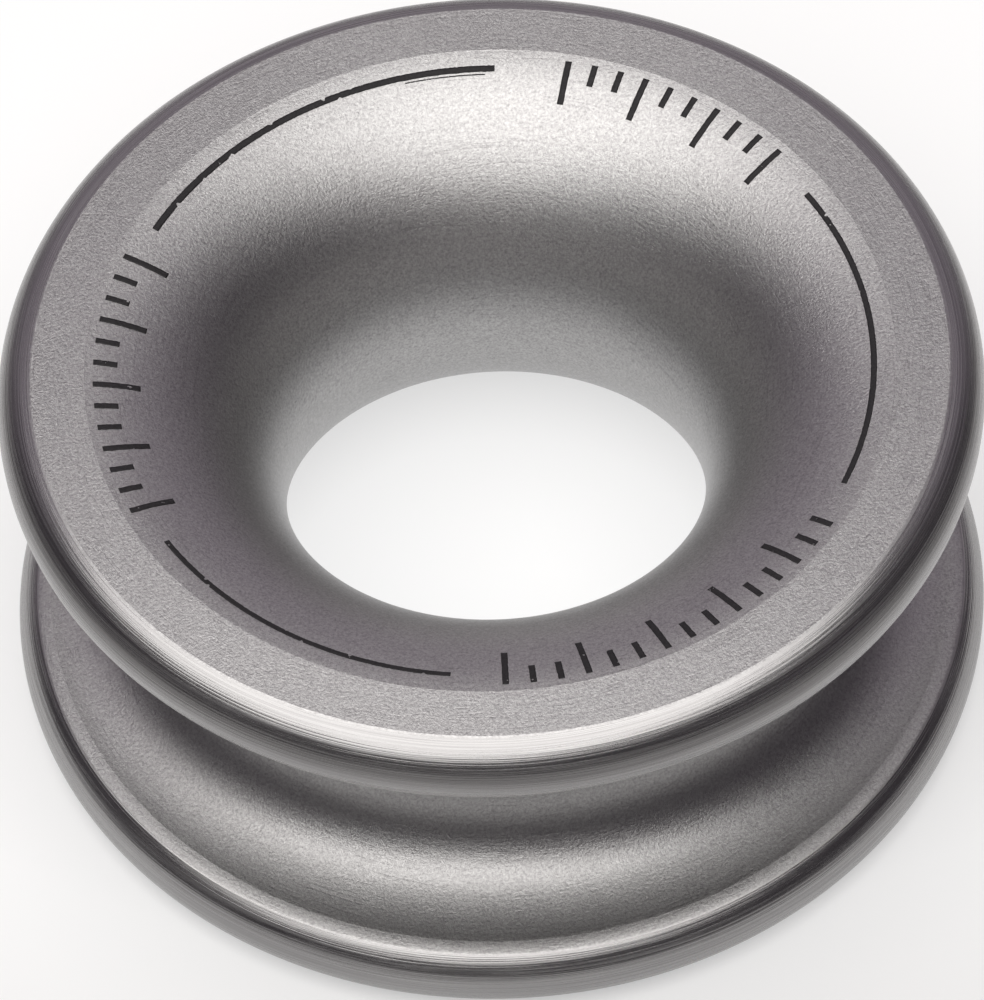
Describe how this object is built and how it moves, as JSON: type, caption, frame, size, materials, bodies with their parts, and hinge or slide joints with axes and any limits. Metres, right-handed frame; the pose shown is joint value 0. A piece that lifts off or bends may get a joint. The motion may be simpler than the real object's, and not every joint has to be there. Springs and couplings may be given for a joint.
{
  "type": "low friction ring",
  "caption": "Turned aluminium ring with a rounded throat that a rope runs through and a deep groove round the outside that a lashing sits in.",
  "frame": {"origin": "centre of the ring, on its axis at mid height", "axes": "+Z along the ring's axis, out of one of its two equal faces; X and Y lie in the mid plane"},
  "size_m": [0.0512, 0.0512, 0.022],
  "materials": {
    "anodised_aluminium": "grey satin anodised, turned all over, with smoother rims"
  },
  "bodies": {
    "root": {"ring": "anodised_aluminium"}
  },
  "joints": []
}
